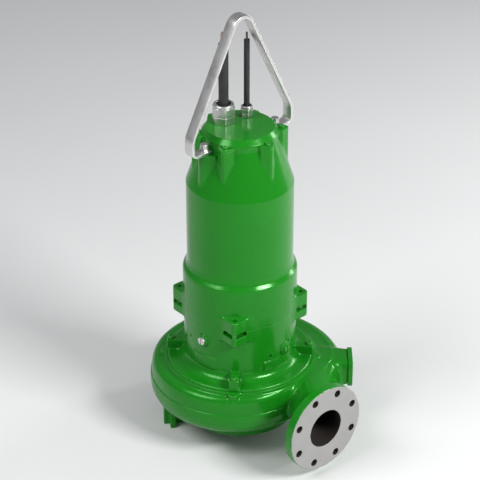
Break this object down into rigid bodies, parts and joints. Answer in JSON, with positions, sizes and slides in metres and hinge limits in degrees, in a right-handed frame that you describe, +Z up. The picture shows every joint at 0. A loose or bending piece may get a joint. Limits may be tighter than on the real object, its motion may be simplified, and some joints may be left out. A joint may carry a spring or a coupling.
{
  "type": "submersible solids handling pump",
  "caption": "Upright submersible solids handling pump: stepped motor housing with a lifting bail and cable stubs on a footed scroll casing with a flanged side outlet.",
  "frame": {"origin": "on the floor, at the bottom centre of the pump's bounding box without its cable stubs", "axes": "+Z up along the motor's shaft; -Y out of the outlet flange, square to its face; +X toward the side port's side of the casing"},
  "size_m": [0.4894, 0.5756, 1.1393],
  "materials": {
    "green_paint": "gloss",
    "stainless": "satin",
    "cable_rubber": "matte",
    "core_colours": "matte"
  },
  "bodies": {
    "root": {"volute": "green_paint", "impeller": "green_paint", "port_cover": "green_paint", "seal_housing": "green_paint", "check_plug": "green_paint", "motor_housing": "green_paint", "lid": "green_paint", "port_screw_1": "green_paint", "port_screw_2": "green_paint", "port_screw_3": "green_paint", "port_screw_4": "green_paint", "clamp_bolt_1": "green_paint", "clamp_bolt_2": "green_paint", "clamp_bolt_3": "green_paint", "clamp_bolt_4": "green_paint", "lid_screw_1": "green_paint", "lid_screw_2": "green_paint", "lid_screw_3": "green_paint", "lid_screw_4": "green_paint", "lid_screw_5": "green_paint", "lid_screw_6": "green_paint", "wear_ring": "stainless", "impeller_nut": "stainless", "oil_plug": "stainless", "bail": "stainless", "bail_washer_left": "stainless", "bail_washer_right": "stainless", "bail_bolt_left": "stainless", "bail_bolt_right": "stainless", "power_gland_body": "stainless", "power_gland_nut": "stainless", "control_gland_body": "stainless", "control_gland_nut": "stainless", "housing_bolt_1": "stainless", "housing_bolt_2": "stainless", "housing_bolt_3": "stainless", "housing_bolt_4": "stainless", "power_gland_seal": "cable_rubber", "control_gland_seal": "cable_rubber", "power_cable": "cable_rubber", "control_cable": "cable_rubber", "control_core": "cable_rubber", "power_conductor_1": "core_colours", "power_conductor_2": "core_colours", "power_conductor_3": "core_colours"}
  },
  "joints": []
}
